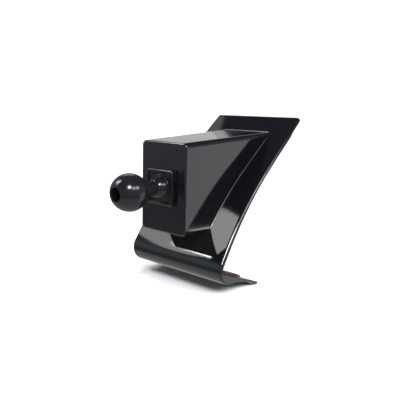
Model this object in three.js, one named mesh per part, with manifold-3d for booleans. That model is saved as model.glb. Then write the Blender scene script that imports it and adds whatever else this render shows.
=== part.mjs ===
// Dashboard phone bracket with a 17 mm ball stud, millimetres, +Z up, the ball facing -Y.
// One moulding (leaning back plate, hollow pod, square collar, rolled bottom edge and hook lip)
// carries a separate ball stud, held by a screw, washer and nut, and foam tape pads with liners.
import * as THREE from "three";
import { mergeVertices } from "three/addons/utils/BufferGeometryUtils.js";
import Module from "manifold-3d";

const wasm = await Module();
wasm.setup();

// ---- driving dimensions: the ball's axis is x = 0, z = 0, and the pod's face crosses it at y = 0
const DEG = Math.PI / 180;
const GAP = 0.3; // between hard pieces that touch
const FILM_GAP = 0.1; // between a tape pad, its liner and what it sticks to
const PLATE = {
  thick: 2.2,
  lean: 50.6 * DEG, // of the straight upper part, from vertical
  bend: { y: 42.9, z: 6.3 }, // where the straight part turns into the curve
  curveRadius: 176,
  curveEnd: 33.5 * DEG, // lean where the curve turns into the rolled bottom edge
  straight: 38.9,
  halfWidthTop: 27.4,
  halfWidthBottom: 30,
  cornerRadius: 1.2,
  topBevel: 0.4,
  edgeRound: 1.5,
};
const ROLL = { radius: 7.4, endLean: -86 * DEG, innerRadius: 2.2, innerDrop: 1.4 };
const LIP = {
  slope: 22 * DEG,
  length: 28.3,
  thick: 1.15,
  rootExtra: 4.6,
  taperPower: 1.5,
  rootEnd: 0.25, // the shares of the length where the roll ends,
  taperEnd: 0.68, // where the lip has thinned down,
  bulbAt: 0.94, // where it swells
  bulbSpread: 0.08,
  endRound: 0.03, // and over which its end is rounded
  bulb: 0.4,
  endThick: 0.35, // share of the thickness left at the very end
  endInset: 0.5,
};
const POD = {
  halfWidth: 14.35,
  top: 20.75,
  bottom: -21.6,
  draft: 2 * DEG,
  faceLean: 2 * DEG,
  cornerRadius: 2.2,
  faceRound: 0.9,
  wall: 2.2,
  faceWall: 2.6,
  innerCorner: 0.8,
  innerRound: 0.2,
  reach: 82, // length of the pod before the plate's back trims it
};
const COLLAR = { outer: 16.6, inner: 13.8, rise: 2.4, corner: 1.2, innerCorner: 0.9 };
const RIB = { thick: 1.4, depth: 5, corner: 0.1 };
const BOSS = { radius: 6.2, depth: 1.2, clearance: 6.8 };
const BALL = { radius: 8.5, centre: 20, holeRadius: 3.15, seat: 20.2 };
const STUD = {
  foot: 13.2,
  footThick: 1.7,
  footCorner: 0.8,
  stepRadius: 6.2,
  step: 0.5,
  domeRadius: 5.4,
  domeHeight: 3.4,
  neckRadius: 3.4,
  boreRadius: 1.75,
};
const SCREW = {
  radius: 1.45,
  headRadius: 2.75,
  head: 3,
  key: 2.5,
  keyDepth: 1.6,
  length: 29.2,
  bevel: 0.35,
};
const WASHER = { radius: 3.5, hole: 1.75, thick: 0.5 };
const NUT = { acrossFlats: 5.5, thick: 2.4, hole: 1.75 };
const TAPE = { foam: 1, film: 0.2 };
const TOP_TAPE = { inset: 1.5, length: 7, halfWidth: 22 };
const STRIP = { centre: 22.2, halfWidth: 4.6, topInset: 10, endLean: 36 * DEG };
const HOOK_TAPE = { start: 0.8, length: 12.8, halfWidth: 29 };
const ROUND_STEPS = 4; // facets in a quarter of a small round
const TURN_STEPS = 40; // facets round the ball's axis
const BALL_STEPS = 16; // facets along the ball, from its neck to its front
const DOME_STEPS = 6;
const CURVE_STEPS = 14; // facets along the plate's curve
const ROLL_STEPS = 12;
const LIP_STEPS = 14;
const DEEPEST_ROUND = 0.8; // the most of a sheet's thickness that an edge round takes
const SMALLEST_CORNER = 0.2;
const THROUGH = 1; // how far a cut runs past the face it opens

// ---- small geometry kit
function geometryFrom(positions, index) {
  const geometry = new THREE.BufferGeometry();
  geometry.setAttribute("position", new THREE.Float32BufferAttribute(positions, 3));
  geometry.setIndex(index);
  return geometry;
}

function facingOut(geometry) {
  const position = geometry.getAttribute("position");
  const index = Array.from(geometry.index.array);
  const [a, b, c] = [new THREE.Vector3(), new THREE.Vector3(), new THREE.Vector3()];
  let volume = 0;
  for (let i = 0; i < index.length; i += 3) {
    a.fromBufferAttribute(position, index[i]);
    b.fromBufferAttribute(position, index[i + 1]);
    c.fromBufferAttribute(position, index[i + 2]);
    volume += a.dot(b.cross(c));
  }
  if (volume < 0) geometry.setIndex(index.reverse());
  return geometry;
}

// Rings of equal length joined one to the next and capped; each ring is a convex outline.
function loft(rings) {
  const size = rings[0].length;
  const positions = rings.flat().flatMap((p) => [p.x, p.y, p.z]);
  const index = [];
  for (let r = 0; r + 1 < rings.length; r++) {
    for (let i = 0; i < size; i++) {
      const a = r * size + i;
      const b = r * size + ((i + 1) % size);
      index.push(a, b, a + size, b, b + size, a + size);
    }
  }
  const last = (rings.length - 1) * size;
  for (let i = 1; i + 1 < size; i++) {
    index.push(0, i + 1, i);
    index.push(last, last + i, last + i + 1);
  }
  return facingOut(geometryFrom(positions, index));
}

function solid(geometry) {
  const bare = geometry.index ? geometry.toNonIndexed() : geometry.clone();
  bare.deleteAttribute("normal");
  bare.deleteAttribute("uv");
  const merged = mergeVertices(bare, 1e-4);
  return new wasm.Manifold(
    new wasm.Mesh({
      numProp: 3,
      vertProperties: merged.getAttribute("position").array,
      triVerts: new Uint32Array(merged.index.array),
    }),
  );
}

function geometryOf(made) {
  const mesh = made.getMesh();
  return geometryFrom(Array.from(mesh.vertProperties), Array.from(mesh.triVerts));
}

// A profile of [radius, distance in front of the pod's face] pairs, turned about the ball's axis.
function turned(profile, sides = TURN_STEPS) {
  const points = profile.map(([radius, ahead]) => new THREE.Vector2(radius, -ahead));
  return facingOut(new THREE.LatheGeometry(points, sides));
}

function rod(radius, from, to, sides = TURN_STEPS) {
  return turned([[0, from], [radius, from], [radius, to], [0, to]], sides);
}

function roundedOutline(halfWidth, low, high, radius) {
  const corners = [
    [halfWidth - radius, high - radius],
    [-halfWidth + radius, high - radius],
    [-halfWidth + radius, low + radius],
    [halfWidth - radius, low + radius],
  ];
  return corners.flatMap(([x, z], corner) =>
    Array.from({ length: ROUND_STEPS + 1 }, (_, i) => {
      const angle = 90 * DEG * (corner + i / ROUND_STEPS);
      return [x + radius * Math.cos(angle), z + radius * Math.sin(angle)];
    }),
  );
}

// A square or oblong bar along the ball's axis, between two distances in front of the face.
function bar(halfWidth, halfHeight, radius, from, to) {
  const outline = roundedOutline(halfWidth, -halfHeight, halfHeight, radius);
  const ring = (ahead) => outline.map(([x, z]) => new THREE.Vector3(x, -ahead, z));
  return loft([ring(from), ring(to)]);
}

function steps(count, make) {
  return Array.from({ length: count + 1 }, (_, i) => make(i / count));
}

// ---- the plate's side profile: a front point and its lean; the wall lies behind it
const CURVE_CENTRE = {
  y: PLATE.bend.y + PLATE.curveRadius * Math.cos(PLATE.lean),
  z: PLATE.bend.z - PLATE.curveRadius * Math.sin(PLATE.lean),
};

function straightPoint(up) {
  return {
    y: PLATE.bend.y + up * Math.sin(PLATE.lean),
    z: PLATE.bend.z + up * Math.cos(PLATE.lean),
    lean: PLATE.lean,
  };
}

function onArc(centre, radius, lean) {
  return { y: centre.y - radius * Math.cos(lean), z: centre.z + radius * Math.sin(lean), lean };
}

function curvePoint(lean) {
  return onArc(CURVE_CENTRE, PLATE.curveRadius, lean);
}

function behind(point, depth) {
  return {
    y: point.y + depth * Math.cos(point.lean),
    z: point.z - depth * Math.sin(point.lean),
    lean: point.lean,
  };
}

function curvePoints(endLean, count) {
  return steps(count, (share) => curvePoint(PLATE.lean + (endLean - PLATE.lean) * share));
}

function halfWidthAt(z) {
  const top = straightPoint(PLATE.straight).z;
  const bottom = curvePoint(PLATE.curveEnd).z;
  const share = (top - z) / (top - bottom);
  return PLATE.halfWidthTop + (PLATE.halfWidthBottom - PLATE.halfWidthTop) * share;
}

// One cross-section of the sheet: square at the back, rounded along both front edges.
function sheetRing(front, back, halfWidth, round = PLATE.edgeRound) {
  const depth = Math.hypot(back.y - front.y, back.z - front.z);
  const r = Math.min(round, depth * DEEPEST_ROUND);
  const at = (x, d) =>
    new THREE.Vector3(
      x,
      front.y + ((back.y - front.y) * d) / depth,
      front.z + ((back.z - front.z) * d) / depth,
    );
  const side = (sign) =>
    steps(ROUND_STEPS, (share) => {
      const angle = 90 * DEG * share;
      return at(sign * (halfWidth - r + r * Math.cos(angle)), r - r * Math.sin(angle));
    });
  return [at(halfWidth, depth), ...side(1), ...side(-1).reverse(), at(-halfWidth, depth)];
}

// The plate's two upper corners are rounded in its own plane, and its top front edge is eased.
function topRings() {
  return steps(ROUND_STEPS, (share) => {
    const angle = 90 * DEG * share;
    const point = straightPoint(PLATE.straight - PLATE.cornerRadius * (1 - Math.cos(angle)));
    const halfWidth = halfWidthAt(point.z) - PLATE.cornerRadius * (1 - Math.sin(angle));
    const eased = behind(point, PLATE.topBevel * (1 - Math.sin(angle)));
    return sheetRing(eased, behind(point, PLATE.thick), halfWidth);
  });
}

function curveRings() {
  return curvePoints(PLATE.curveEnd, CURVE_STEPS).map((point) =>
    sheetRing(point, behind(point, PLATE.thick), halfWidthAt(point.z)),
  );
}

// The rolled edge turns on a large radius outside and on a small one inside.
const ROLL_START = curvePoint(PLATE.curveEnd);
const ROLL_CENTRE = behind(ROLL_START, ROLL.radius);
const INNER_START = behind(ROLL_START, PLATE.thick);
const INNER_CENTRE = behind(
  {
    y: INNER_START.y - ROLL.innerDrop * Math.sin(PLATE.curveEnd),
    z: INNER_START.z - ROLL.innerDrop * Math.cos(PLATE.curveEnd),
    lean: PLATE.curveEnd,
  },
  ROLL.innerRadius,
);
const LIP_LEAN = LIP.slope - 90 * DEG;

function rollRings() {
  return steps(ROLL_STEPS, (share) => {
    const lean = PLATE.curveEnd + (ROLL.endLean - PLATE.curveEnd) * share;
    const innerLean = PLATE.curveEnd + (LIP_LEAN - PLATE.curveEnd) * share;
    return sheetRing(
      onArc(ROLL_CENTRE, ROLL.radius, lean),
      onArc(INNER_CENTRE, ROLL.innerRadius, innerLean),
      PLATE.halfWidthBottom,
    );
  }).slice(1);
}

// A point above (or, with a negative height, below) the lip's straight upper face.
function lipPoint(along, height) {
  const root = onArc(INNER_CENTRE, ROLL.innerRadius, LIP_LEAN);
  return {
    y: root.y + along * Math.cos(LIP.slope) + height * Math.sin(LIP.slope),
    z: root.z - along * Math.sin(LIP.slope) + height * Math.cos(LIP.slope),
  };
}

// The lip thins away from the roll and swells a little before its rounded end.
function lipThickness(along) {
  const taper = Math.max(0, 1 - along / LIP.taperEnd) ** LIP.taperPower;
  const swell = Math.exp(-(((along - LIP.bulbAt) / LIP.bulbSpread) ** 2));
  return LIP.thick + LIP.rootExtra * taper + LIP.bulb * swell;
}

function lipRings() {
  return steps(LIP_STEPS, (share) => {
    const along = LIP.rootEnd + (1 - LIP.rootEnd) * share;
    const thick = lipThickness(along);
    const fromEnd = Math.min(1, (1 - along) / LIP.endRound);
    const kept = LIP.endThick + (1 - LIP.endThick) * Math.sqrt(1 - (1 - fromEnd) ** 2);
    const top = lipPoint(along * LIP.length, (-thick * (1 - kept)) / 2);
    const below = lipPoint(along * LIP.length, (-thick * (1 + kept)) / 2);
    return sheetRing(below, top, PLATE.halfWidthBottom - LIP.endInset * (1 - kept));
  });
}

function sheetSolid() {
  const rings = [...topRings(), ...curveRings(), ...rollRings(), ...lipRings()];
  return solid(loft(rings));
}

// ---- the pod: a drafted box whose face leans back, hollow from behind
function podSolid(inset, faceInset, cornerRadius, faceRound) {
  const ringAt = (y, shrink) => {
    const grow = y * Math.tan(POD.draft) - inset - shrink;
    const outline = roundedOutline(
      POD.halfWidth + grow,
      POD.bottom - grow,
      POD.top + grow,
      Math.max(cornerRadius - shrink, SMALLEST_CORNER),
    );
    return outline.map(([x, z]) => new THREE.Vector3(x, y + z * Math.tan(POD.faceLean), z));
  };
  const face = steps(ROUND_STEPS, (share) => {
    const angle = 90 * DEG * share;
    return ringAt(faceInset + faceRound * (1 - Math.sin(angle)), faceRound * (1 - Math.cos(angle)));
  });
  return solid(loft([...face.reverse(), ringAt(POD.reach, 0)]));
}

// Everything in front of the middle of the plate's wall.
function frontOfPlate() {
  const high = straightPoint(2 * PLATE.straight);
  const line = [high, ...curvePoints(PLATE.curveEnd, CURVE_STEPS)];
  const edge = line.map((p) => behind(p, PLATE.thick / 2));
  const reach = -2 * POD.halfWidth;
  const shape = new THREE.Shape();
  shape.moveTo(reach, edge[0].z);
  edge.forEach((p) => shape.lineTo(p.y, p.z));
  shape.lineTo(reach, edge.at(-1).z);
  const width = 4 * POD.halfWidth;
  const geometry = new THREE.ExtrudeGeometry(shape, { depth: width, bevelEnabled: false });
  geometry.translate(0, 0, -width / 2);
  const alongX = new THREE.Matrix4().makeBasis(
    new THREE.Vector3(0, 1, 0),
    new THREE.Vector3(0, 0, 1),
    new THREE.Vector3(1, 0, 0),
  );
  return solid(geometry.applyMatrix4(alongX));
}

function collarSolid() {
  const half = COLLAR.outer / 2;
  return solid(bar(half, half, COLLAR.corner, -POD.faceWall / 2, COLLAR.rise));
}

// Inside the pod a low boss and a cross of ribs stiffen the wall that the screw pulls on.
function stiffeners() {
  const ribBack = -(POD.faceWall + RIB.depth);
  const into = POD.wall / 2;
  const rib = (halfWidth, halfHeight) =>
    solid(bar(halfWidth, halfHeight, RIB.corner, -POD.faceWall / 2, ribBack));
  const across = rib(POD.halfWidth - into, RIB.thick / 2);
  const upright = rib(RIB.thick / 2, POD.top - into);
  const cross = across.add(upright);
  const bossBack = -(POD.faceWall + BOSS.depth);
  const room = solid(rod(BOSS.clearance, bossBack, ribBack - THROUGH));
  return cross.subtract(room).add(solid(rod(BOSS.radius, -POD.faceWall / 2, bossBack)));
}

function bracketShell() {
  const half = COLLAR.inner / 2;
  const recess = solid(bar(half, half, COLLAR.innerCorner, 0, COLLAR.rise + THROUGH));
  const screwHole = solid(rod(STUD.boreRadius, COLLAR.rise + THROUGH, -(POD.faceWall + RIB.depth)));
  const shell = sheetSolid()
    .add(podSolid(0, 0, POD.cornerRadius, POD.faceRound).intersect(frontOfPlate()))
    .subtract(podSolid(POD.wall, POD.faceWall, POD.innerCorner, POD.innerRound))
    .add(collarSolid())
    .add(stiffeners())
    .subtract(recess)
    .subtract(screwHole);
  return geometryOf(shell);
}

// ---- the ball stud and what fastens it
const FOOT_BACK = GAP;
const FOOT_FRONT = FOOT_BACK + STUD.footThick;

function ballStud() {
  const half = STUD.foot / 2;
  const foot = solid(bar(half, half, STUD.footCorner, FOOT_BACK, FOOT_FRONT));
  const domeBase = FOOT_FRONT + STUD.step;
  const dome = steps(DOME_STEPS, (share) => {
    const angle = 90 * DEG * share;
    const spread = STUD.domeRadius - STUD.neckRadius;
    return [
      STUD.neckRadius + spread * Math.cos(angle),
      domeBase + STUD.domeHeight * Math.sin(angle),
    ];
  });
  const neckAngle = Math.asin(STUD.neckRadius / BALL.radius);
  const ball = steps(BALL_STEPS, (share) => {
    const angle = (180 * DEG - neckAngle) * (1 - share);
    return [BALL.radius * Math.sin(angle), BALL.centre + BALL.radius * Math.cos(angle)];
  });
  const inFoot = FOOT_BACK + STUD.footThick / 2;
  const body = solid(
    turned([
      [0, inFoot],
      [STUD.stepRadius, inFoot],
      [STUD.stepRadius, domeBase],
      ...dome,
      ...ball.slice(0, -1),
      [0, BALL.centre + BALL.radius],
    ]),
  );
  const front = BALL.centre + BALL.radius + THROUGH;
  return geometryOf(
    foot
      .add(body)
      .subtract(solid(rod(STUD.boreRadius, 0, front)))
      .subtract(solid(rod(BALL.holeRadius, BALL.seat, front))),
  );
}

const HEAD_BACK = BALL.seat + GAP;
const NUT_FACE = -(POD.faceWall + BOSS.depth + GAP);

function hexagon(acrossFlats, from, to) {
  return rod(acrossFlats / Math.sqrt(3), from, to, 6);
}

function ballScrew() {
  const headFront = HEAD_BACK + SCREW.head;
  const tip = HEAD_BACK - SCREW.length;
  const { bevel } = SCREW;
  const body = turned([
    [0, tip],
    [SCREW.radius - bevel, tip],
    [SCREW.radius, tip + bevel],
    [SCREW.radius, HEAD_BACK],
    [SCREW.headRadius, HEAD_BACK],
    [SCREW.headRadius, headFront - bevel],
    [SCREW.headRadius - bevel, headFront],
    [0, headFront],
  ]);
  const key = hexagon(SCREW.key, headFront - SCREW.keyDepth, headFront + THROUGH);
  return geometryOf(solid(body).subtract(solid(key)));
}

function washer() {
  const back = NUT_FACE - WASHER.thick;
  const disc = solid(rod(WASHER.radius, NUT_FACE, back));
  return geometryOf(disc.subtract(solid(rod(WASHER.hole, NUT_FACE + THROUGH, back - THROUGH))));
}

function nut() {
  const front = NUT_FACE - WASHER.thick - GAP;
  const back = front - NUT.thick;
  const body = solid(hexagon(NUT.acrossFlats, front, back));
  return geometryOf(body.subtract(solid(rod(NUT.hole, front + THROUGH, back - THROUGH))));
}

// ---- tape pads: foam on the moulding, with a release liner over it
function slab(stations, layer, x) {
  const ring = (station) => {
    const [a, b] = [station(layer.low), station(layer.high)];
    return [
      new THREE.Vector3(x.from, a.y, a.z),
      new THREE.Vector3(x.to, a.y, a.z),
      new THREE.Vector3(x.to, b.y, b.z),
      new THREE.Vector3(x.from, b.y, b.z),
    ];
  };
  return loft(stations.map(ring));
}

const FOAM_LAYER = { low: FILM_GAP, high: FILM_GAP + TAPE.foam };
const FILM_LAYER = { low: FOAM_LAYER.high + FILM_GAP, high: FOAM_LAYER.high + FILM_GAP + TAPE.film };

function onPlateBack(point) {
  return (height) => behind(point, PLATE.thick + height);
}

function onLip(along) {
  return (height) => lipPoint(along, height);
}

const TOP_STATIONS = [0, TOP_TAPE.length].map((down) =>
  onPlateBack(straightPoint(PLATE.straight - TOP_TAPE.inset - down)),
);
const STRIP_STATIONS = [
  straightPoint(PLATE.straight - STRIP.topInset),
  ...curvePoints(STRIP.endLean, CURVE_STEPS),
].map(onPlateBack);
const HOOK_STATIONS = [HOOK_TAPE.start, HOOK_TAPE.start + HOOK_TAPE.length].map(onLip);

function across(centre, halfWidth) {
  return { from: centre - halfWidth, to: centre + halfWidth };
}

const TAPES = [
  ["top", TOP_STATIONS, across(0, TOP_TAPE.halfWidth)],
  ["left", STRIP_STATIONS, across(-STRIP.centre, STRIP.halfWidth)],
  ["right", STRIP_STATIONS, across(STRIP.centre, STRIP.halfWidth)],
  ["hook", HOOK_STATIONS, across(0, HOOK_TAPE.halfWidth)],
];

// ---- materials and assembly
function material(color, roughness, metalness = 0) {
  return new THREE.MeshStandardMaterial({ color, roughness, metalness });
}

const bracket = new THREE.Group();

function addPiece(name, geometry, look) {
  const mesh = new THREE.Mesh(geometry, look);
  mesh.name = name;
  bracket.add(mesh);
}

addPiece("bracket_shell", bracketShell(), material(0x08090b, 0.08));
addPiece("ball_stud", ballStud(), material(0x0c0d0f, 0.2));
addPiece("ball_screw", ballScrew(), material(0x2a2b2d, 0.4, 1));
addPiece("flat_washer", washer(), material(0x8f9193, 0.35, 1));
addPiece("hex_nut", nut(), material(0x8a8c8e, 0.35, 1));
for (const [place, stations, x] of TAPES) {
  addPiece(`${place}_foam_pad`, slab(stations, FOAM_LAYER, x), material(0x2b2120, 0.9));
  addPiece(`${place}_liner`, slab(stations, FILM_LAYER, x), material(0x4a3734, 0.4));
}

// The part's origin is the middle of the top pad's bonded face, where it meets the dashboard.
const middleDown = TOP_TAPE.inset + TOP_TAPE.length / 2;
const bonded = onPlateBack(straightPoint(PLATE.straight - middleDown))(FILM_LAYER.high);
bracket.position.set(0, -bonded.y, -bonded.z);

export default bracket;
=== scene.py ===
import math

import bmesh
import bpy
from mathutils import Matrix, Quaternion, Vector


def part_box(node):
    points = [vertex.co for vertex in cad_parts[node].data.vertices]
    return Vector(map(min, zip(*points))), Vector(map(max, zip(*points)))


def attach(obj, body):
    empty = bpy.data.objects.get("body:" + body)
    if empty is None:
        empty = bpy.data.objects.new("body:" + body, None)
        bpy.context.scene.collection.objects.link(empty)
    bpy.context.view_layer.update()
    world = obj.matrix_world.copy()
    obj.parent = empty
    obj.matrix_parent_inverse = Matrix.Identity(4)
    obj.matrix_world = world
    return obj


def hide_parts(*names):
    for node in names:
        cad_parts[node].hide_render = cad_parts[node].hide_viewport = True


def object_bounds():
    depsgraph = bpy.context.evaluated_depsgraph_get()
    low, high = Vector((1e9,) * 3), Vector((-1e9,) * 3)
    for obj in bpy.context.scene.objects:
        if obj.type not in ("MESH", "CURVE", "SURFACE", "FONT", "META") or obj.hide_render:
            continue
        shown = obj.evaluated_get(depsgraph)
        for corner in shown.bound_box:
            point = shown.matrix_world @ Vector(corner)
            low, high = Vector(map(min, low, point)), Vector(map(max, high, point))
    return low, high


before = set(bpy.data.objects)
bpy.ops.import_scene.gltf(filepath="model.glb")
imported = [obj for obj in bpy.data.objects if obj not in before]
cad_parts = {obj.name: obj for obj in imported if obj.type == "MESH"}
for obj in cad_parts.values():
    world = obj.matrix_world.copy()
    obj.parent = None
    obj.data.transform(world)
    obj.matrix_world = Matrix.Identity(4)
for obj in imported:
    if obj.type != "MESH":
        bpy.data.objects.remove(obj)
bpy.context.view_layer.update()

# ---- the datum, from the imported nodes
MM = 0.001
DEG = math.pi / 180
GAP = 0.3
stud_low, stud_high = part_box("ball_stud")
screw_low, screw_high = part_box("ball_screw")
DATUM = Vector((
    (screw_low.x + screw_high.x) / 2,
    stud_high.y + GAP * MM,
    (screw_low.z + screw_high.z) / 2,
))

# ---- driving dimensions, the CAD's own
# the plate: straight at the top, then a gentle curve
PLATE_THICK = 2.2
PLATE_LEAN = 50.6 * DEG
BEND_Y, BEND_Z = 42.9, 6.3
CURVE_RADIUS = 176.0
CURVE_END = 33.5 * DEG
STRAIGHT = 38.9
HALF_TOP, HALF_BOTTOM = 27.4, 30.0
PLATE_CORNER = 1.2
# the roll under it, and the lip that runs back from the roll
ROLL_RADIUS, ROLL_END = 7.4, -86 * DEG
ROLL_INNER, ROLL_INNER_DROP = 2.2, 1.4
LIP_SLOPE = 22 * DEG
LIP_LENGTH = 28.3
LIP_THICK = 1.15
LIP_ROOT_END, LIP_TAPER_END, LIP_TAPER_POWER = 0.25, 0.68, 1.5
LIP_ROOT_EXTRA = 4.6
LIP_BULB, LIP_BULB_AT, LIP_BULB_SPREAD = 0.4, 0.94, 0.08
LIP_END_ROUND, LIP_END_THICK, LIP_END_INSET = 0.03, 0.35, 0.5
# the pod, its collar, and the ribs and boss inside it
POD_HALF, POD_TOP, POD_BOTTOM = 14.35, 20.75, -21.6
POD_DRAFT = POD_LEAN = 2 * DEG
POD_CORNER, POD_FACE_ROUND = 2.2, 0.9
POD_WALL, POD_FACE_WALL = 2.2, 2.6
POD_REACH = 82.0
POD_INNER_CORNER = 0.8
COLLAR_OUTER, COLLAR_INNER, COLLAR_RISE, COLLAR_CORNER = 8.3, 6.9, 2.4, 1.2
RECESS_CORNER = 0.9
RIB_THICK, RIB_DEPTH, RIB_CORNER = 1.4, 5.0, 0.2
BOSS_RADIUS, BOSS_DEPTH, BOSS_CLEARANCE = 6.2, 1.2, 6.8
# the ball stud
BALL_RADIUS, BALL_CENTRE, BALL_HOLE, BALL_SEAT = 8.5, 20.0, 3.15, 20.2
FOOT_HALF, FOOT_THICK, FOOT_CORNER = 6.6, 1.7, 0.8
STEP_RADIUS, STEP = 6.2, 0.5
SKIRT_RADIUS, SKIRT_HEIGHT, NECK_RADIUS = 5.4, 3.4, 3.4
BORE_RADIUS = 1.75
# the screw, washer and nut
SHANK_RADIUS, HEAD_RADIUS, HEAD, SCREW_LENGTH = 1.45, 2.75, 3.0, 29.2
KEY, KEY_DEPTH = 2.5, 1.6
THREAD_PITCH, THREAD_DEPTH, THREAD_LENGTH = 0.5, 0.24, 14.0
WASHER_RADIUS, WASHER_HOLE, WASHER_THICK = 3.5, 1.75, 0.5
NUT_FLATS, NUT_THICK, NUT_HOLE = 5.5, 2.4, 1.6
# the tapes: one across the plate's top, a strip down each side, and one on the lip
FOAM, FILM, FILM_GAP = 1.0, 0.2, 0.1
TOP_INSET, TOP_LENGTH, TOP_HALF = 1.5, 7.0, 22.0
STRIP_CENTRE, STRIP_HALF, STRIP_INSET, STRIP_END = 22.2, 4.6, 10.0, 36 * DEG
HOOK_START, HOOK_LENGTH, HOOK_HALF = 0.8, 12.8, 29.0

# ---- detail that only the looks have
# rounds along the sheet's edges, the share of its thickness that each may take, the share of the
# front round that the top edge drops by, and the power that crowds the lip's rings towards its end
PLATE_EDGE, BACK_EDGE, LIP_EDGE = 1.5, 0.35, 0.5
EDGE_MOST, BACK_EDGE_MOST = 0.72, 0.2
TOP_EDGE_EASED = 0.45
LIP_SPACING = 1.6
# rounds on the pod; each fillet starts a little inside the surfaces that it joins
FILLET, FILLET_SINK, FILLET_ROOT = 0.8, 0.045, 0.4
COLLAR_ROOT, COLLAR_RIM, RECESS_FLARE = 1.2, 0.7, 0.25
BOSS_ROUND, POD_INNER_ROUND = 0.3, 0.3
SMALLEST_POD_CORNER, SMALLEST_SQUARE_CORNER = 0.25, 0.3
# the stud: the skirt is a cone but for its bulge, a share of a quarter ellipse
FOOT_ROUND, FOOT_OVERLAP, STEP_ROUND = 0.3, 0.6, 0.25
SKIRT_BULGE, SKIRT_LEDGE = 0.35, 0.15
NECK_BLEND, BALL_START_TURN, MOUTH_ROUND = 0.5, 0.05, 0.2
STUD_CORE = 2.6
# the screw, washer and nut
TIP_RADIUS, TIP_STEP, TIP_TAPER = 0.6, 0.02, 0.3
NECK_FLARE, HEAD_UNDER, HEAD_ROUND = 0.15, 0.2, 0.35
KNURL_TOP, KNURL_DEPTH = 0.5, 0.07
KEY_CHAMFER, KEY_CONE, KEY_CONE_SCALE = 0.2, 0.4, 0.25
WASHER_ROUND = 0.12
NUT_FACE_SHARE, NUT_CHAMFER, NUT_HOLE_LEAD, NUT_HOLE_FLARE = 0.96, 30 * DEG, 0.3, 0.25
NUT_EASE = 0.01
# the tapes: bulging sides, and ends tucked in over a few stations
FOAM_BULGE, FOAM_END_ROUND = 0.12, 0.25
FILM_BULGE, FILM_END_ROUND = 0.05, 0.05
TUCK_STATIONS, TUCK_NARROWS, TUCK_LOWERS = 3, 0.5, 0.3
# how far a cutting solid runs past what it cuts
PAST, HOLLOW_PAST = 1.0, 4.0

# ---- how finely the meshes are divided
QUARTER = 90 * DEG
POD_SIDE_STEPS = 40
# where a line of the pod meets the plate is looked for up to this share of POD_REACH
FARTHEST_MEETING, HALVINGS = 1.2, 40
SCREW_SIDES = 72
NUT_SIDES = 96
ROWS_PER_PITCH = 8
THREAD_START_ROWS, THREAD_FINISH_ROWS = 10, 8
# in metres: points closer than this are one, before and after the booleans, and no edge is shorter
MERGE, MERGE_CUT, SHORTEST_EDGE = 1e-7, 2e-6, 1e-6

# ---- studio
# in metres
LAMP_DISTANCE, FLOOR_REACH = 1.5, 4.0
# in millimetres from the datum
LAMP_AIM = (0, 15, -10)
# linear colours of the room, by the direction that they are seen in
FLOOR_GLOW = (0.60, 0.60, 0.58)
FRONT_LOW_GLOW = (0.16, 0.165, 0.18)
FRONT_GLOW = (0.25, 0.28, 0.31)
FRONT_LEFT_GLOW = (0.36, 0.42, 0.46)
OVERHEAD_GLOW = (0.05, 0.055, 0.075)
BACK_LEFT_GLOW = (0.74, 0.74, 0.73)
BACK_RIGHT_GLOW = (1.02, 1.02, 1.04)
# the strength of the plain white that the camera sees behind the object
WHITE_SEEN = 1.1
OVERHEAD_ENERGY, OVERHEAD_ANGLE = 4.7, 95 * DEG
OVERHEAD_FROM = (0.33, 0.42, 0.85)
# the camera: sensor and lens in millimetres, the nearest distance in metres, and its place in
# millimetres from the datum, with the directions that run right and up in its view
SENSOR_WIDTH, LENS, CLIP_START = 36, 43.6, 0.01
CAMERA_PLACE = (165.70, -159.86, 40.39)
CAMERA_RIGHT = (0.75575, 0.65479, 0.00985)
CAMERA_UP = (-0.14739, 0.15543, 0.97679)


# ---- mesh kit
def piece(name, verts, faces, slot, sharp=35):
    mesh = bpy.data.meshes.new(name)
    mesh.from_pydata([placed(v) for v in verts], [], faces)
    made = bmesh.new()
    made.from_mesh(mesh)
    bmesh.ops.remove_doubles(made, verts=made.verts, dist=MERGE)
    bmesh.ops.recalc_face_normals(made, faces=made.faces)
    made.to_mesh(mesh)
    made.free()
    obj = bpy.data.objects.new(name, mesh)
    bpy.context.scene.collection.objects.link(obj)
    smooth(obj, sharp)
    return obj


def placed(point):
    """A point in millimetres from the datum, as metres in the frame."""
    return DATUM + Vector(point) * MM


def smooth(obj, sharp):
    obj.data.polygons.foreach_set("use_smooth", [True] * len(obj.data.polygons))
    obj.data.set_sharp_from_angle(angle=sharp * DEG)


def weighted(obj):
    """Flat faces keep flat reflections, and the small rounds between them turn smoothly."""
    modifier = obj.modifiers.new("weighted", "WEIGHTED_NORMAL")
    modifier.mode = "FACE_AREA"
    modifier.weight = 100
    modifier.keep_sharp = True


def loft(rings, closed=False):
    """Rings joined one to the next; the two ends are capped, or joined where the loft is closed."""
    size = len(rings[0])
    verts = [p for ring in rings for p in ring]
    faces = []
    count = len(rings)
    for r in range(count if closed else count - 1):
        a = r * size
        b = ((r + 1) % count) * size
        for i in range(size):
            j = (i + 1) % size
            faces.append((a + i, a + j, b + j, b + i))
    if not closed:
        faces.append(tuple(range(size)))
        faces.append(tuple(range((count - 1) * size, count * size)))
    return verts, faces


def steps(count, make):
    return [make(i / count) for i in range(count + 1)]


def polar_ring(sides, ahead, radius_at):
    """A ring about the ball's axis, its radius given for each angle, ahead of the pod's face."""
    ring = []
    for i in range(sides):
        angle = math.tau * i / sides
        radius = radius_at(angle)
        ring.append((radius * math.cos(angle), -ahead, radius * math.sin(angle)))
    return ring


def turned(profile, sides):
    """Rings of (radius, distance in front of the face), turned about the ball's axis."""
    return [polar_ring(sides, ahead, lambda _, r=radius: r) for radius, ahead in profile]


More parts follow.
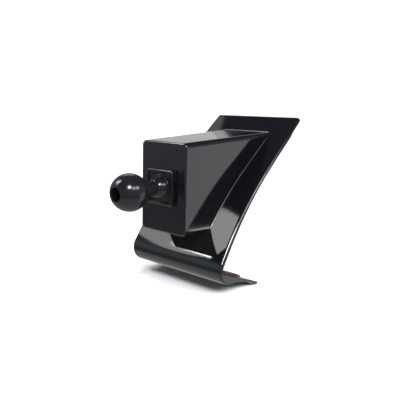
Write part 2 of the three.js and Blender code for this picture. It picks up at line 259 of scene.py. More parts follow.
def round_corner(centre, radius, start, end, count):
    """Points of an arc in a profile, from one angle to another in degrees."""
    return [
        (centre[0] + radius * math.cos(a), centre[1] + radius * math.sin(a))
        for a in steps(count, lambda t: (start + (end - start) * t) * DEG)
    ]


def rounded_outline(half, low, high, radius, count, side_steps=1):
    """An upright oblong as (x, z): right side going up, then left side coming down."""
    top, bottom = high - radius, low + radius
    right = [
        (half - radius + radius * math.sin(a), bottom - radius * math.cos(a))
        for a in steps(count, lambda t: QUARTER * t)
    ]
    right += [(half, bottom + (top - bottom) * i / side_steps) for i in range(1, side_steps)]
    right += [
        (half - radius + radius * math.cos(a), top + radius * math.sin(a))
        for a in steps(count, lambda t: QUARTER * t)
    ]
    return right + [(-x, z) for x, z in reversed(right)]


def boolean(obj, other, operation):
    modifier = obj.modifiers.new(operation.lower(), "BOOLEAN")
    modifier.operation = operation
    modifier.solver = "EXACT"
    modifier.object = other


def bake_modifiers(obj, helpers, sharp):
    """Turns the modifiers into plain mesh and removes the solids that they used."""
    bpy.context.view_layer.update()
    graph = bpy.context.evaluated_depsgraph_get()
    mesh = bpy.data.meshes.new_from_object(obj.evaluated_get(graph))
    obj.modifiers.clear()
    obj.data = mesh
    for helper in helpers:
        bpy.data.objects.remove(helper, do_unlink=True)
    made = bmesh.new()
    made.from_mesh(mesh)
    bmesh.ops.remove_doubles(made, verts=made.verts, dist=MERGE_CUT)
    bmesh.ops.dissolve_degenerate(made, edges=made.edges, dist=SHORTEST_EDGE)
    made.to_mesh(mesh)
    made.free()
    smooth(obj, sharp)


# ---- the plate's side profile
CURVE_Y = BEND_Y + CURVE_RADIUS * math.cos(PLATE_LEAN)
CURVE_Z = BEND_Z - CURVE_RADIUS * math.sin(PLATE_LEAN)


def on_arc(centre, radius, lean):
    return (centre[0] - radius * math.cos(lean), centre[1] + radius * math.sin(lean), lean)


def curve_point(lean):
    return on_arc((CURVE_Y, CURVE_Z), CURVE_RADIUS, lean)


def straight_point(up):
    y = BEND_Y + up * math.sin(PLATE_LEAN)
    return (y, BEND_Z + up * math.cos(PLATE_LEAN), PLATE_LEAN)


def behind(point, depth):
    y, z, lean = point
    return (y + depth * math.cos(lean), z - depth * math.sin(lean), lean)


def plate_y(z, depth):
    """How far back the plate's surface is at a height, at a depth below its front."""
    joint_y, joint_z, _ = behind((BEND_Y, BEND_Z, PLATE_LEAN), depth)
    if z >= joint_z:
        return joint_y + (z - joint_z) * math.tan(PLATE_LEAN)
    radius = CURVE_RADIUS - depth
    return CURVE_Y - math.sqrt(radius ** 2 - (z - CURVE_Z) ** 2)


def half_width(z):
    top, bottom = straight_point(STRAIGHT)[1], curve_point(CURVE_END)[1]
    return HALF_TOP + (HALF_BOTTOM - HALF_TOP) * (top - z) / (top - bottom)


def sheet_ring(front, back, half, edge=PLATE_EDGE):
    """A cross-section of the sheet, with its front and back edges rounded."""
    depth = math.hypot(back[0] - front[0], back[1] - front[1])
    edge = min(edge, depth * EDGE_MOST)
    back_edge = min(BACK_EDGE, depth * BACK_EDGE_MOST)

    def through(x, d):
        share = d / depth
        return (x, front[0] + (back[0] - front[0]) * share, front[1] + (back[1] - front[1]) * share)

    side = steps(9, lambda t: (
        half - edge + edge * math.sin(QUARTER * t),
        edge - edge * math.cos(QUARTER * t),
    ))
    side += steps(4, lambda t: (
        half - back_edge + back_edge * math.cos(QUARTER * t),
        depth - back_edge + back_edge * math.sin(QUARTER * t),
    ))
    right = [through(x, d) for x, d in side]
    left = [through(-x, d) for x, d in reversed(side)]
    return right + left


ROLL_START = curve_point(CURVE_END)
ROLL_CENTRE = behind(ROLL_START, ROLL_RADIUS)
INNER_START = behind(ROLL_START, PLATE_THICK)
INNER_CENTRE = behind(
    (
        INNER_START[0] - ROLL_INNER_DROP * math.sin(CURVE_END),
        INNER_START[1] - ROLL_INNER_DROP * math.cos(CURVE_END),
        CURVE_END,
    ),
    ROLL_INNER,
)
LIP_LEAN = LIP_SLOPE - QUARTER


def lip_point(along, height):
    root = on_arc(INNER_CENTRE, ROLL_INNER, LIP_LEAN)
    y = root[0] + along * math.cos(LIP_SLOPE) + height * math.sin(LIP_SLOPE)
    return (y, root[1] - along * math.sin(LIP_SLOPE) + height * math.cos(LIP_SLOPE))


def lip_thickness(along):
    taper = max(0, 1 - along / LIP_TAPER_END) ** LIP_TAPER_POWER
    swell = math.exp(-(((along - LIP_BULB_AT) / LIP_BULB_SPREAD) ** 2))
    return LIP_THICK + LIP_ROOT_EXTRA * taper + LIP_BULB * swell


def top_rings():
    """The plate's top edge, its two corners rounded."""
    def ring(share):
        a = QUARTER * share
        left_over = 1 - math.sin(a)
        point = straight_point(STRAIGHT - PLATE_CORNER * (1 - math.cos(a)))
        half = half_width(point[1]) - PLATE_CORNER * left_over
        front = behind(point, PLATE_EDGE * TOP_EDGE_EASED * left_over)
        return sheet_ring(front, behind(point, PLATE_THICK - BACK_EDGE * left_over), half)

    return steps(10, ring)


def plate_rings():
    straight = [straight_point(STRAIGHT * (1 - t / 6)) for t in range(1, 6)]
    curve = steps(56, lambda t: curve_point(PLATE_LEAN + (CURVE_END - PLATE_LEAN) * t))
    return [sheet_ring(p, behind(p, PLATE_THICK), half_width(p[1])) for p in straight + curve]


def roll_rings():
    def ring(share):
        lean = CURVE_END + (ROLL_END - CURVE_END) * share
        inner = CURVE_END + (LIP_LEAN - CURVE_END) * share
        outside = on_arc(ROLL_CENTRE, ROLL_RADIUS, lean)
        return sheet_ring(outside, on_arc(INNER_CENTRE, ROLL_INNER, inner), HALF_BOTTOM)

    return steps(48, ring)[1:]


def lip_rings():
    """The lip from the roll to its rounded end, its rings closer together towards the end."""
    def ring(t):
        share = 1 - (1 - t) ** LIP_SPACING
        along = LIP_ROOT_END + (1 - LIP_ROOT_END) * share
        thick = lip_thickness(along)
        from_end = min(1, (1 - along) / LIP_END_ROUND)
        kept = LIP_END_THICK + (1 - LIP_END_THICK) * math.sqrt(1 - (1 - from_end) ** 2)
        top = lip_point(along * LIP_LENGTH, -thick * (1 - kept) / 2)
        below = lip_point(along * LIP_LENGTH, -thick * (1 + kept) / 2)
        return sheet_ring(below, top, HALF_BOTTOM - LIP_END_INSET * (1 - kept), LIP_EDGE)

    return steps(44, ring)


# ---- the pod
def pod_ring(outline_at, y, ahead_of_plate=None):
    """The pod's outline at a depth, or where each of its straight lines meets the plate."""
    near, far = outline_at(0), outline_at(POD_REACH * math.tan(POD_DRAFT))
    ring = []
    for (x0, z0), (x1, z1) in zip(near, far):
        def along(t):
            z = z0 + (z1 - z0) * t
            return (x0 + (x1 - x0) * t, POD_REACH * t + z * math.tan(POD_LEAN), z)

        if ahead_of_plate is None:
            ring.append(along(y / POD_REACH))
        else:
            ring.append(along(meeting(along, ahead_of_plate)))
    return ring


def meeting(along, depth):
    """How far along a line the plate is met at a depth below its front, by halving."""
    low, high = 0.0, FARTHEST_MEETING
    for _ in range(HALVINGS):
        middle = (low + high) / 2
        point = along(middle)
        if point[1] < plate_y(point[2], depth):
            low = middle
        else:
            high = middle
    return (low + high) / 2


def pod_outline(inset, corner):
    def grown(grow):
        g = grow - inset
        low, high = POD_BOTTOM - g, POD_TOP + g
        return rounded_outline(POD_HALF + g, low, high, corner, 8, POD_SIDE_STEPS)

    return grown


def ladder_cap(start, size):
    """Faces across a ring whose right half mirrors its left, rung by rung."""
    faces = []
    for i in range(size // 2 - 1):
        faces.append((start + i, start + i + 1, start + size - 2 - i, start + size - 1 - i))
    return faces


def pod_mesh(inset, face_inset, corner, face_round, depth, face_steps):
    """The pod's outside or inside, from its rounded face back to a depth behind the plate."""
    def face_ring(share):
        a = QUARTER * share
        pulled = face_round * (1 - math.cos(a))
        outline = pod_outline(inset + pulled, max(corner - pulled, SMALLEST_POD_CORNER))
        return pod_ring(outline, face_inset + face_round * (1 - math.sin(a)))

    rings = list(reversed(steps(face_steps, face_ring)))
    rings.append(pod_ring(pod_outline(inset, corner), 0, depth))
    verts, faces = loft(rings)
    size = len(rings[0])
    faces = faces[:-2] + ladder_cap(0, size) + ladder_cap((len(rings) - 1) * size, size)
    return verts, faces


def fillet_mesh():
    """The small concave round where the pod's walls run into the plate."""
    outline = pod_outline(0, POD_CORNER)
    foot = pod_ring(outline, 0, 0.0)
    front = pod_ring(outline, 0)
    size = len(foot)
    rings = []
    for i in range(size):
        corner = Vector(foot[i])
        wall = (Vector(front[i]) - corner).normalized()
        run = (Vector(foot[(i + 1) % size]) - Vector(foot[i - 1])).normalized()
        on_curve = corner.z < BEND_Z
        lean = math.asin((corner.z - CURVE_Z) / CURVE_RADIUS) if on_curve else PLATE_LEAN
        plate_out = Vector((0, -math.cos(lean), math.sin(lean)))
        away = plate_out.cross(run)
        if away.dot(Vector((corner.x, 0, corner.z - (POD_TOP + POD_BOTTOM) / 2))) < 0:
            away = -away
        wall_out = (away - away.dot(wall) * wall).normalized()
        start = corner + wall * FILLET - wall_out * FILLET_SINK
        end = corner + away * FILLET - plate_out * FILLET_SINK
        arc = steps(7, lambda t: start * (1 - t) ** 2 + corner * 2 * t * (1 - t) + end * t ** 2)
        below, inward = plate_out * FILLET_ROOT, wall_out * FILLET_ROOT
        inner = [end - below, corner - below - inward, start - inward]
        rings.append([tuple(p) for p in arc + inner])
    return loft(rings, closed=True)


def rib_mesh(half_x, half_z, y_from, y_to):
    outline = rounded_outline(half_x, -half_z, half_z, RIB_CORNER, 3)
    return loft([[(x, y, z) for x, z in outline] for y in (y_from, y_to)])


def square_rings(profile, corner):
    """Square rings of (half width, distance in front of the face)."""
    rings = []
    for half, ahead in profile:
        radius = max(corner - (profile[0][0] - half), SMALLEST_SQUARE_CORNER)
        outline = rounded_outline(half, -half, half, radius, 6)
        rings.append([(x, -ahead, z) for x, z in outline])
    return rings


def collar_mesh():
    profile = [(COLLAR_OUTER, -COLLAR_ROOT)]
    rim_centre = (COLLAR_OUTER - COLLAR_RIM, COLLAR_RISE - COLLAR_RIM)
    profile += round_corner(rim_centre, COLLAR_RIM, 0, 90, 7)
    return loft(square_rings(profile, COLLAR_CORNER))


def recess_mesh():
    profile = [(COLLAR_INNER, 0.0), (COLLAR_INNER, COLLAR_RISE - RECESS_FLARE)]
    profile += steps(4, lambda t: (
        COLLAR_INNER + RECESS_FLARE * (1 - math.cos(QUARTER * t)),
        COLLAR_RISE - RECESS_FLARE * (1 - math.sin(QUARTER * t)),
    ))[1:]
    profile.append((COLLAR_INNER + RECESS_FLARE, COLLAR_RISE + PAST))
    return loft(square_rings(profile, RECESS_CORNER))


def build_bracket():
    sheet = loft(top_rings() + plate_rings() + roll_rings() + lip_rings())
    shell = piece("moulded_shell", *sheet, "gloss_shell")
    helpers = []

    def apply(operation, name, mesh):
        helper = piece(name, *mesh, "gloss_shell")
        helpers.append(helper)
        boolean(shell, helper, operation)

    outside = pod_mesh(0, 0, POD_CORNER, POD_FACE_ROUND, PLATE_THICK / 2, 8)
    past_back = PLATE_THICK + HOLLOW_PAST
    inside = pod_mesh(POD_WALL, POD_FACE_WALL, POD_INNER_CORNER, POD_INNER_ROUND, past_back, 3)
    apply("UNION", "pod_outside", outside)
    apply("UNION", "pod_fillet", fillet_mesh())
    apply("DIFFERENCE", "pod_inside", inside)
    apply("UNION", "collar", collar_mesh())

    into = POD_WALL / 2
    in_face = POD_FACE_WALL / 2
    rib_half = RIB_THICK / 2
    rib_back = POD_FACE_WALL + RIB_DEPTH
    boss_back = POD_FACE_WALL + BOSS_DEPTH
    nut_room = turned([(BOSS_CLEARANCE, -boss_back), (BOSS_CLEARANCE, -rib_back - PAST)], 64)
    boss = [(BOSS_RADIUS, -in_face)]
    boss += round_corner((BOSS_RADIUS - BOSS_ROUND, BOSS_ROUND - boss_back), BOSS_ROUND, 0, -90, 4)
    screw_hole = turned([(BORE_RADIUS, COLLAR_RISE + PAST), (BORE_RADIUS, -rib_back)], 48)
    apply("UNION", "rib_across", rib_mesh(POD_HALF - into, rib_half, in_face, rib_back))
    apply("UNION", "rib_upright", rib_mesh(rib_half, POD_TOP - into, in_face, rib_back))
    apply("DIFFERENCE", "nut_room", loft(nut_room))
    apply("UNION", "boss", loft(turned(boss, 64)))
    apply("DIFFERENCE", "recess", recess_mesh())
    apply("DIFFERENCE", "screw_hole", loft(screw_hole))
    bake_modifiers(shell, helpers, sharp=33)
    weighted(shell)
    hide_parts("bracket_shell")
    return shell


# ---- the ball stud and its fasteners
def skirt_profile(base):
    """A nearly straight cone from the step up to the neck, bulging a little."""
    spread = SKIRT_RADIUS - NECK_RADIUS
    straight = 1 - SKIRT_BULGE
    return steps(20, lambda t: (
        NECK_RADIUS + spread * (straight * (1 - t) + SKIRT_BULGE * math.cos(QUARTER * t)),
        base + SKIRT_HEIGHT * (straight * t + SKIRT_BULGE * math.sin(QUARTER * t)),
    ))


def ball_profile():
    """From the neck round the ball to the eased mouth of its hole, and down to the screw's seat."""
    neck_angle = math.asin(NECK_RADIUS / BALL_RADIUS)
    mouth_angle = math.asin((BALL_HOLE + MOUTH_ROUND) / BALL_RADIUS)
    first = math.pi - neck_angle - BALL_START_TURN
    neck_end = BALL_CENTRE - BALL_RADIUS * math.cos(neck_angle)
    profile = [(NECK_RADIUS, neck_end - NECK_BLEND)]
    profile += steps(64, lambda t: (
        BALL_RADIUS * math.sin(first - (first - mouth_angle) * t),
        BALL_CENTRE + BALL_RADIUS * math.cos(first - (first - mouth_angle) * t),
    ))
    front = BALL_CENTRE + BALL_RADIUS * math.cos(mouth_angle)
    mouth_centre = (BALL_HOLE + MOUTH_ROUND, front - MOUTH_ROUND)
    profile += round_corner(mouth_centre, MOUTH_ROUND, 80, 180, 6)
    return profile + [(BALL_HOLE, BALL_SEAT), (STUD_CORE, BALL_SEAT)]


def build_stud():
    foot_front = GAP + FOOT_THICK
    base = foot_front + STEP
    foot = [(FOOT_HALF, GAP)]
    foot += round_corner((FOOT_HALF - FOOT_ROUND, foot_front - FOOT_ROUND), FOOT_ROUND, 0, 90, 5)
    stud = piece("moulded_stud", *loft(square_rings(foot, FOOT_CORNER)), "ball_plastic")

    inside_foot = GAP + FOOT_OVERLAP
    profile = [(STUD_CORE, inside_foot), (STEP_RADIUS, inside_foot)]
    profile += round_corner((STEP_RADIUS - STEP_ROUND, base - STEP_ROUND), STEP_ROUND, 0, 90, 4)
    profile.append((SKIRT_RADIUS + SKIRT_LEDGE, base))
    profile += skirt_profile(base) + ball_profile()
    body = piece("stud_turned", *loft(turned(profile, 128)), "ball_plastic")

    past_ball = BALL_CENTRE + BALL_RADIUS + PAST
    bore_mesh = loft(turned([(BORE_RADIUS, -PAST), (BORE_RADIUS, past_ball)], 64))
    bore = piece("stud_bore", *bore_mesh, "ball_plastic")
    boolean(stud, body, "UNION")
    boolean(stud, bore, "DIFFERENCE")
    bake_modifiers(stud, [body, bore], sharp=33)
    weighted(stud)
    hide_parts("ball_stud")
    return stud


def hexagon(angle, flat):
    """The radius of a hexagon at an angle, given half its width across flats."""
    sixth = math.pi / 3
    return flat / math.cos((angle + sixth / 2) % sixth - sixth / 2)


def thread_rings(tip):
    """A single-start thread that rises out of the tapered tip and fades into the plain shank."""
    rows = int(THREAD_LENGTH / THREAD_PITCH * ROWS_PER_PITCH)
    rings = []
    for row in range(rows + 1):
        start = min(1, row / THREAD_START_ROWS)
        finish = min(1, (rows - row) / THREAD_FINISH_ROWS)

        def radius_at(angle):
            phase = (row * THREAD_LENGTH / rows / THREAD_PITCH + angle / math.tau) % 1
            groove = THREAD_DEPTH * abs(2 * phase - 1)
            return SHANK_RADIUS - groove * finish - TIP_TAPER * (1 - start)

        ahead = tip + TIP_STEP + THREAD_LENGTH * row / rows
        rings.append(polar_ring(SCREW_SIDES, ahead, radius_at))
    return rings


def head_rings(back, front):
    """The neck under the head, the knurled head with a rounded top, and its hexagon key socket."""
    knurl_low, knurl_high = back + HEAD_UNDER, front - KNURL_TOP
    profile = [(SHANK_RADIUS, back - NECK_FLARE), (SHANK_RADIUS + NECK_FLARE, back)]
    profile += [(HEAD_RADIUS - HEAD_UNDER, back)]
    profile += [(HEAD_RADIUS, knurl_low), (HEAD_RADIUS, knurl_high)]
    head_centre = (HEAD_RADIUS - HEAD_ROUND, front - HEAD_ROUND)
    profile += round_corner(head_centre, HEAD_ROUND, 20, 90, 5)
    profile.append((KEY / math.sqrt(3) + HEAD_ROUND, front))
    rings = []
    for radius, ahead in profile:
        groove = KNURL_DEPTH if ahead in (knurl_low, knurl_high) else 0

        def knurled(angle):
            return radius - groove * (round(angle / math.tau * SCREW_SIDES) % 2)

        rings.append(polar_ring(SCREW_SIDES, ahead, knurled))

    socket = [(front - KEY_CHAMFER, 1.0), (front - KEY_DEPTH, 1.0)]
    socket.append((front - KEY_DEPTH - KEY_CONE, KEY_CONE_SCALE))
    for ahead, scale in socket:
        key_half = scale * KEY / 2
        rings.append(polar_ring(SCREW_SIDES, ahead, lambda a, half=key_half: hexagon(a, half)))
    return rings


def build_screw():
    back = BALL_SEAT + GAP
    tip = back - SCREW_LENGTH
    rings = [polar_ring(SCREW_SIDES, tip, lambda _: TIP_RADIUS)]
    rings += thread_rings(tip)
    rings += head_rings(back, back + HEAD)
    screw = piece("cap_screw", *loft(rings), "dark_steel", sharp=30)
    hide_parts("ball_screw")
    return screw


def build_washer():
    r = WASHER_ROUND
    face = -(POD_FACE_WALL + BOSS_DEPTH + GAP)
    back = face - WASHER_THICK
    outside = round_corner((WASHER_RADIUS - r, face - r), r, 90, 0, 4)
    outside += round_corner((WASHER_RADIUS - r, back + r), r, 0, -90, 4)
    inside = round_corner((WASHER_HOLE + r, back + r), r, -90, -180, 4)
    inside += round_corner((WASHER_HOLE + r, face - r), r, 180, 90, 4)
    mesh = loft(turned(outside + inside, 96), closed=True)
    washer = piece("zinc_washer", *mesh, "zinc_steel", sharp=40)
    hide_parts("flat_washer")
    return washer


def build_nut():
    front = -(POD_FACE_WALL + BOSS_DEPTH + GAP + WASHER_THICK + GAP)
    back = front - NUT_THICK
    flat = NUT_FLATS / 2
    washer_face = flat * NUT_FACE_SHARE
    flared = NUT_HOLE + NUT_HOLE_FLARE

    def round_ring(radius, ahead):
        return polar_ring(NUT_SIDES, ahead, lambda _: radius)

    def side_ring(face, towards_middle):
        """The hexagon's sides, cut back at the corners by the chamfer's cone."""
        ring = []
        for x, _, z in polar_ring(NUT_SIDES, face, lambda a: hexagon(a, flat) - NUT_EASE):
            drop = max(0, (math.hypot(x, z) - washer_face) * math.tan(NUT_CHAMFER))
            ring.append((x, -(face + towards_middle * drop), z))
        return ring

    rings = [
        round_ring(NUT_HOLE, front - NUT_HOLE_LEAD),
        round_ring(flared, front),
        round_ring(washer_face, front),
        side_ring(front, -1),
        side_ring(back, 1),
        round_ring(washer_face, back),
        round_ring(flared, back),
        round_ring(NUT_HOLE, back + NUT_HOLE_LEAD),
    ]
    nut = piece("zinc_nut", *loft(rings, closed=True), "zinc_steel", sharp=25)
    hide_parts("hex_nut")
    return nut


# ---- tape pads and liners
def plate_line(points):
    """Each station gives a point behind the plate at a height off its back."""
    return [lambda height, p=p: behind(p, PLATE_THICK + height)[:2] for p in points]


def lip_line(points):
    return [lambda height, a=a: lip_point(a, height) for a in points]


def pad_mesh(line, low, high, centre, half, bulge, end_round):
    """A thin pad along a line of stations, its cut edges rounded and its sides bulging a little."""
    height = high - low
    last = len(line) - 1
    rings = []
    for k, station in enumerate(line):
        from_end = min(k, last - k)
        tuck = end_round * max(0, 1 - from_end / TUCK_STATIONS) ** 2
        ring = []
        for across, up in steps(8, lambda t: (math.cos(math.pi * (t - 0.5)), t)):
            x = half - bulge + bulge * across - TUCK_NARROWS * tuck
            lowered = TUCK_LOWERS * tuck * up if up >= 0.5 else 0
            ring.append((x, low + height * (up - lowered)))
        right = [(centre + x, *station(h)) for x, h in ring]
        left = [(centre - x, *station(h)) for x, h in reversed(ring)]
        rings.append(right + left)
    return loft(rings)


def tape_lines():
    """Each tape's name, its stations, its centre across the plate and half its width."""
    top_start = STRAIGHT - TOP_INSET
    top = plate_line(steps(14, lambda t: straight_point(top_start - TOP_LENGTH * t)))
    strip = steps(14, lambda t: straight_point((STRAIGHT - STRIP_INSET) * (1 - t)))[:-1]
    strip += steps(28, lambda t: curve_point(PLATE_LEAN + (STRIP_END - PLATE_LEAN) * t))
    strip = plate_line(strip)
    hook = lip_line(steps(20, lambda t: HOOK_START + HOOK_LENGTH * t))
    return (
        ("top", top, 0.0, TOP_HALF),
        ("left", strip, -STRIP_CENTRE, STRIP_HALF),
        ("right", strip, STRIP_CENTRE, STRIP_HALF),
        ("hook", hook, 0.0, HOOK_HALF),
    )


def build_foam(name, line, centre, half):
    mesh = pad_mesh(line, FILM_GAP, FILM_GAP + FOAM, centre, half, FOAM_BULGE, FOAM_END_ROUND)
    foam = piece(name + "_tape", *mesh, "foam", sharp=50)
    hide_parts(name + "_foam_pad")
    return foam


def build_liner(name, line, centre, half):
    low = FILM_GAP + FOAM + FILM_GAP
    mesh = pad_mesh(line, low, low + FILM, centre, half, FILM_BULGE, FILM_END_ROUND)
    liner = piece(name + "_film", *mesh, "liner", sharp=50)
    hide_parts(name + "_liner")
    return liner


# ---- procedural materials
class Nodes:
    """A material's node tree, with short calls for the nodes that these materials use."""

    def __init__(self, name):
        self.material = bpy.data.materials.new(name)
        self.material.use_nodes = True
        self.tree = self.material.node_tree
        self.shader = self.tree.nodes["Principled BSDF"]
        place = self.tree.nodes.new("ShaderNodeTexCoord")
        self.place = place.outputs["Object"]

    def link(self, source, target):
        self.tree.links.new(source, target)

    def noise(self, scale, detail, roughness=0.5, stretch=None):
        node = self.tree.nodes.new("ShaderNodeTexNoise")
        node.inputs["Scale"].default_value = scale
        node.inputs["Detail"].default_value = detail
        node.inputs["Roughness"].default_value = roughness
        source = self.place
        if stretch:
            mapping = self.tree.nodes.new("ShaderNodeMapping")
            mapping.inputs["Scale"].default_value = stretch
            self.link(source, mapping.inputs["Vector"])
            source = mapping.outputs["Vector"]
        self.link(source, node.inputs["Vector"])
        return node.outputs["Fac"]

    def cells(self, scale):
        node = self.tree.nodes.new("ShaderNodeTexVoronoi")
        node.inputs["Scale"].default_value = scale
        self.link(self.place, node.inputs["Vector"])
        return node.outputs["Distance"]

    def colour(self, source, dark, light, dark_at=0.3, light_at=0.7):
        """The base colour, from dark to light as the source rises."""
        node = self.tree.nodes.new("ShaderNodeValToRGB")
        first, second = node.color_ramp.elements
        first.position, first.color = dark_at, (*dark, 1)
        second.position, second.color = light_at, (*light, 1)
        self.link(source, node.inputs["Fac"])
        self.link(node.outputs["Color"], self.shader.inputs["Base Color"])

    def spread(self, source, low, high):
        """A noise's usual range, 0.3 to 0.7, stretched to run from low to high."""
        node = self.tree.nodes.new("ShaderNodeMapRange")
        node.inputs["From Min"].default_value = 0.3
        node.inputs["From Max"].default_value = 0.7
        node.inputs["To Min"].default_value = low
        node.inputs["To Max"].default_value = high
        self.link(source, node.inputs["Value"])
        return node.outputs["Result"]

    def maths(self, operation, a, b):
        node = self.tree.nodes.new("ShaderNodeMath")
        node.operation = operation
        for value, target in ((a, node.inputs[0]), (b, node.inputs[1])):
            if isinstance(value, float):
                target.default_value = value
            else:
                self.link(value, target)
        return node.outputs["Value"]

    def edges(self, radius):
        """High along convex edges: how far a bevelled normal turns from the true one."""
        bevel = self.tree.nodes.new("ShaderNodeBevel")
        bevel.samples = 4
        bevel.inputs["Radius"].default_value = radius
        geometry = self.tree.nodes.new("ShaderNodeNewGeometry")
        dot = self.tree.nodes.new("ShaderNodeVectorMath")
        dot.operation = "DOT_PRODUCT"
        self.link(bevel.outputs["Normal"], dot.inputs[0])
        self.link(geometry.outputs["Normal"], dot.inputs[1])
        return self.maths("SUBTRACT", 1.0, dot.outputs["Value"])

    def rough(self, source):
        self.link(source, self.shader.inputs["Roughness"])

    def bump(self, source, distance):
        node = self.tree.nodes.new("ShaderNodeBump")
        node.inputs["Strength"].default_value = 1.0
        node.inputs["Distance"].default_value = distance
        self.link(source, node.inputs["Height"])
        self.link(node.outputs["Normal"], self.shader.inputs["Normal"])

    def set(self, **values):
        for name, value in values.items():
            self.shader.inputs[name.replace("_", " ")].default_value = value


def gloss_plastic(name, dark, light, smoothest, roughest, ripple, ior):
    """Polished black moulding: faint haze, fine scuffs, rubbed edges and a moulded skin's ripple."""
    n = Nodes(name)
    haze = n.noise(scale=45, detail=5, roughness=0.6)
    scuffs = n.noise(scale=900, detail=3, roughness=0.6, stretch=(1, 0.08, 1))
    n.colour(haze, dark, light)
    skin = n.maths("ADD", n.spread(haze, smoothest, roughest), n.spread(scuffs, -0.01, 0.025))
    rubbed = n.maths("MULTIPLY", n.edges(radius=0.4 * MM), 0.5)
    n.rough(n.maths("ADD", skin, rubbed))
    n.set(IOR=ior)
    n.bump(n.noise(scale=160, detail=2, roughness=0.4), ripple * MM)
    return n.material


def steel(name, dark, light, smoothest, roughest):
    """Plated or blackened steel: turned grain, blotches and edges worn lighter."""
    n = Nodes(name)
    grain = n.noise(scale=700, detail=4, roughness=0.6, stretch=(1, 6, 1))
    blotch = n.noise(scale=350, detail=3)
    worn = n.maths("ADD", blotch, n.edges(radius=0.2 * MM))
    n.colour(worn, dark, light, dark_at=0.35, light_at=0.65)
    n.rough(n.spread(grain, smoothest, roughest))
    n.set(Metallic=1.0)
    n.bump(grain, 0.01 * MM)
    return n.material


def foam_material():
    """Dark acrylic foam: pores and cloudy patches."""
    n = Nodes("acrylic_foam")
    pores = n.cells(scale=4200)
    cloud = n.noise(scale=500, detail=5, roughness=0.6)
    n.colour(cloud, (0.018, 0.011, 0.010), (0.045, 0.028, 0.026), dark_at=0.35, light_at=0.65)
    n.rough(n.spread(cloud, 0.75, 0.95))
    n.bump(n.maths("ADD", pores, cloud), 0.12 * MM)
    return n.material


def liner_material():
    """Dull reddish-brown release film, slightly crinkled."""
    n = Nodes("release_film")
    cloud = n.noise(scale=260, detail=5, roughness=0.6)
    n.colour(cloud, (0.050, 0.026, 0.023), (0.075, 0.040, 0.036), dark_at=0.35, light_at=0.65)
    n.rough(n.spread(n.noise(scale=1200, detail=3), 0.28, 0.45))
    n.bump(n.noise(scale=420, detail=4, roughness=0.6), 0.03 * MM)
    return n.material


def paint(obj, material):
    obj.data.materials.clear()
    obj.data.materials.append(material)
    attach(obj, "root")


# ---- studio
def softbox(name, azimuth, elevation, half_width, half_height, radiance, tilt=0):
    """A lamp seen from the object at an azimuth (0 in front, 90 to the right) and an elevation.

    Its half sizes are angles too, and its energy gives it the same radiance whatever its size.
    """
    a, e = azimuth * DEG, elevation * DEG
    away = Vector((math.sin(a) * math.cos(e), -math.cos(a) * math.cos(e), math.sin(e)))
    data = bpy.data.lights.new(name, "AREA")
    data.shape = "RECTANGLE"
    data.size = 2 * LAMP_DISTANCE * math.tan(half_width * DEG)
    data.size_y = 2 * LAMP_DISTANCE * math.tan(half_height * DEG)
    data.energy = radiance * math.pi * data.size * data.size_y
    lamp = bpy.data.objects.new(name, data)
    bpy.context.scene.collection.objects.link(lamp)
    lamp.location = placed(LAMP_AIM) + LAMP_DISTANCE * away
    facing = away.to_track_quat("Z", "Y") @ Quaternion((0, 0, 1), tilt * DEG)
    lamp.rotation_euler = facing.to_euler()
    lamp.visible_camera = False


def build_floor():
    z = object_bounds()[0].z
    corners = [(x * FLOOR_REACH, y * FLOOR_REACH, z) for x, y in ((-1, -1), (1, -1), (1, 1), (-1, 1))]
    mesh = bpy.data.meshes.new("floor")
    mesh.from_pydata(corners, [], [(0, 1, 2, 3)])
    floor = bpy.data.objects.new("floor", mesh)
    bpy.context.scene.collection.objects.link(floor)
    n = Nodes("pale_floor")
    n.colour(n.noise(scale=6, detail=2), (0.90, 0.90, 0.90), (0.93, 0.93, 0.93))
    n.set(Roughness=0.9, Specular_IOR_Level=0.0)
    floor.data.materials.append(n.material)
    floor.visible_glossy = False


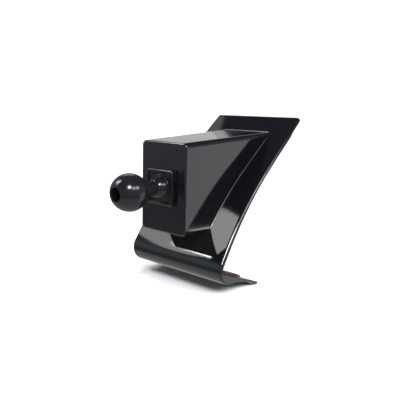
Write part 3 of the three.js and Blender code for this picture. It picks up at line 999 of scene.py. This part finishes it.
def build_room():
    """Soft surroundings: white behind the object, dim in front of it, dark overhead."""
    scene = bpy.context.scene
    world = scene.world or bpy.data.worlds.new("studio")
    scene.world = world
    world.use_nodes = True
    tree = world.node_tree
    tree.nodes.clear()

    def feed(target, value):
        if isinstance(value, bpy.types.NodeSocket):
            tree.links.new(value, target)
        elif isinstance(value, tuple) and len(value) == 3:
            target.default_value = (*value, 1)
        else:
            target.default_value = value

    def node(kind, **inputs):
        made = tree.nodes.new(kind)
        for key, value in inputs.items():
            feed(made.inputs[key.replace("_", " ")], value)
        return made

    def rise(source, low, high):
        """0 below low and 1 above high, smooth between; falls instead where low is the higher."""
        made = node("ShaderNodeMapRange", Value=source, From_Min=low, From_Max=high)
        made.interpolation_type = "SMOOTHSTEP"
        return made.outputs["Result"]

    def both(first, second):
        made = tree.nodes.new("ShaderNodeMath")
        made.operation = "MULTIPLY"
        feed(made.inputs[0], first)
        feed(made.inputs[1], second)
        return made.outputs["Value"]

    def blend(factor, first, second):
        made = tree.nodes.new("ShaderNodeMix")
        made.data_type = "RGBA"
        colour_sockets = [s for s in made.inputs if s.type == "RGBA"]
        feed(made.inputs[0], factor)
        feed(colour_sockets[0], first)
        feed(colour_sockets[1], second)
        return next(s for s in made.outputs if s.type == "RGBA")

    # the direction's parts: x to the right, y to the back, z up, each from -1 to 1
    direction = node("ShaderNodeTexCoord").outputs["Generated"]
    split = node("ShaderNodeSeparateXYZ", Vector=direction)
    x, y, z = (split.outputs[axis] for axis in "XYZ")
    front = blend(rise(z, -0.60, -0.30), FLOOR_GLOW, FRONT_LOW_GLOW)
    front = blend(rise(z, -0.19, -0.04), front, FRONT_GLOW)
    front = blend(both(rise(z, -0.02, 0.06), rise(x, 0.0, -0.5)), front, FRONT_LEFT_GLOW)
    front = blend(rise(z, 0.35, 0.60), front, OVERHEAD_GLOW)
    back = blend(both(rise(x, -0.45, -0.60), rise(z, 0.45, 0.25)), front, BACK_LEFT_GLOW)
    back = blend(both(rise(x, 0.40, 0.60), rise(z, 0.0, -0.05)), back, BACK_RIGHT_GLOW)
    glow = node("ShaderNodeBackground", Color=blend(rise(y, 0.25, 0.55), front, back))
    white = node("ShaderNodeBackground", Color=(1, 1, 1), Strength=WHITE_SEEN)
    choose = tree.nodes.new("ShaderNodeMixShader")
    feed(choose.inputs[0], node("ShaderNodeLightPath").outputs["Is Camera Ray"])
    feed(choose.inputs[1], glow.outputs[0])
    feed(choose.inputs[2], white.outputs[0])
    node("ShaderNodeOutputWorld", Surface=choose.outputs[0])


def build_overhead():
    """A broad soft light from above and behind, which whitens the floor and isn't reflected."""
    sun = bpy.data.lights.new("overhead", "SUN")
    sun.energy = OVERHEAD_ENERGY
    sun.angle = OVERHEAD_ANGLE
    overhead = bpy.data.objects.new("overhead", sun)
    overhead.rotation_euler = Vector(OVERHEAD_FROM).to_track_quat("Z", "Y").to_euler()
    overhead.visible_glossy = False
    bpy.context.scene.collection.objects.link(overhead)


def build_studio():
    build_floor()
    build_room()
    # name, azimuth, elevation, half width and half height in degrees, radiance
    softbox("front_left_softbox", -63, 38, 12.5, 9, 2.2)
    softbox("front_left_high", -56, 45, 4, 9, 18.0, tilt=-12)
    softbox("front_left_strip", -49.4, 33.0, 3.2, 0.65, 20.0, tilt=24)
    softbox("right_key", 51, 40.5, 7.5, 7.5, 32.0)
    softbox("right_low", 79.5, 33, 7.5, 7.5, 9.0)
    softbox("right_back_low", 105, 30, 9, 7, 9.0)
    softbox("left_high", -99.5, 47.2, 3.0, 3.0, 0.6)
    softbox("back_left_lamp", -127, 43, 14, 4.5, 3.0)
    build_overhead()


def build_camera():
    data = bpy.data.cameras.new("camera")
    data.sensor_width = SENSOR_WIDTH
    data.lens = LENS
    data.clip_start = CLIP_START
    camera = bpy.data.objects.new("camera", data)
    bpy.context.scene.collection.objects.link(camera)
    right = Vector(CAMERA_RIGHT)
    back = right.cross(Vector(CAMERA_UP)).normalized()
    up = back.cross(right)
    turn = Matrix((right, up, back)).transposed().to_4x4()
    camera.matrix_world = Matrix.Translation(placed(CAMERA_PLACE)) @ turn
    bpy.context.scene.camera = camera


# ---- assembly
# plastics: name, darkest and lightest colour, smoothest and roughest, ripple in mm, index
shell_look = gloss_plastic(
    "gloss_black_moulding",
    (0.0028, 0.0030, 0.0038), (0.0045, 0.0047, 0.0056),
    0.03, 0.06, ripple=0.004, ior=1.7,
)
stud_look = gloss_plastic(
    "ball_black_moulding",
    (0.005, 0.0055, 0.0065), (0.008, 0.0085, 0.0095),
    0.14, 0.2, ripple=0.006, ior=1.5,
)
dark_steel = steel("black_oxide_steel", (0.03, 0.03, 0.033), (0.07, 0.07, 0.075), 0.32, 0.5)
zinc = steel("zinc_plated_steel", (0.36, 0.36, 0.37), (0.5, 0.5, 0.5), 0.25, 0.42)
foam_look = foam_material()
liner_look = liner_material()
paint(build_bracket(), shell_look)
paint(build_stud(), stud_look)
paint(build_screw(), dark_steel)
paint(build_washer(), zinc)
paint(build_nut(), zinc)
for tape in tape_lines():
    paint(build_foam(*tape), foam_look)
    paint(build_liner(*tape), liner_look)
build_studio()
build_camera()
bpy.context.scene.view_settings.view_transform = "Standard"
